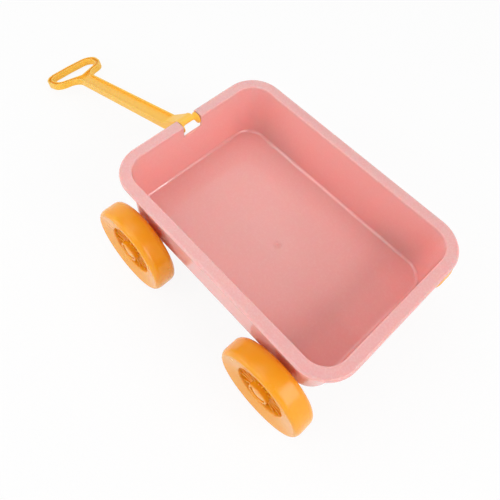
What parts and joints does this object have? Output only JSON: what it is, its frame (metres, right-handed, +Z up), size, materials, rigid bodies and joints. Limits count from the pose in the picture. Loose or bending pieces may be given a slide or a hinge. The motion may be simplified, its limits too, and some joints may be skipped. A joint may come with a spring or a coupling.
{
  "type": "kids pull wagon",
  "caption": "Small moulded toy wagon with an open tub, dished free-spinning wheels and a drop-down loop handle that pivots in a notch of the front rim.",
  "frame": {"origin": "middle of the overall box at ground level, with the handle lying on the ground", "axes": "+X forward towards the handle, +Y to the wagon's left, +Z up"},
  "size_m": [0.6492, 0.284, 0.1596],
  "materials": {
    "pink_plastic": "satin moulded plastic with fine pale and brown flecks",
    "yellow_plastic": "satin moulded plastic with fine flecks",
    "orange_plastic": "satin moulded plastic with fine flecks",
    "steel": "bright drawn rod and zinc-plated screws"
  },
  "bodies": {
    "tub": {"tub": "pink_plastic", "axle_front": "steel", "axle_rear": "steel", "keeper_screws": "steel", "keeper_front_left": "pink_plastic", "keeper_front_right": "pink_plastic", "keeper_rear_left": "pink_plastic", "keeper_rear_right": "pink_plastic", "cap_front_left": "orange_plastic", "cap_front_right": "orange_plastic", "cap_rear_left": "orange_plastic", "cap_rear_right": "orange_plastic"},
    "handle": {"handle": "yellow_plastic"},
    "wheel_front_left": {"wheel_front_left": "orange_plastic", "back_front_left": "orange_plastic"},
    "wheel_front_right": {"wheel_front_right": "orange_plastic", "back_front_right": "orange_plastic"},
    "wheel_rear_left": {"wheel_rear_left": "orange_plastic", "back_rear_left": "orange_plastic"},
    "wheel_rear_right": {"wheel_rear_right": "orange_plastic", "back_rear_right": "orange_plastic"}
  },
  "joints": [
    {"name": "handle_pivot", "type": "hinge", "parent": "tub", "child": "handle", "pos_m": [0.01117, 0, 0.152], "axis": [0, -1, 0], "range_deg": [0, 202]},
    {"name": "wheel_front_left_spin", "type": "hinge", "parent": "tub", "child": "wheel_front_left", "pos_m": [-0.03763, 0.127, 0.059], "axis": [0, 1, 0], "continuous": true},
    {"name": "wheel_front_right_spin", "type": "hinge", "parent": "tub", "child": "wheel_front_right", "pos_m": [-0.03763, -0.127, 0.059], "axis": [0, 1, 0], "continuous": true},
    {"name": "wheel_rear_left_spin", "type": "hinge", "parent": "tub", "child": "wheel_rear_left", "pos_m": [-0.26563, 0.127, 0.059], "axis": [0, 1, 0], "continuous": true},
    {"name": "wheel_rear_right_spin", "type": "hinge", "parent": "tub", "child": "wheel_rear_right", "pos_m": [-0.26563, -0.127, 0.059], "axis": [0, 1, 0], "continuous": true}
  ]
}
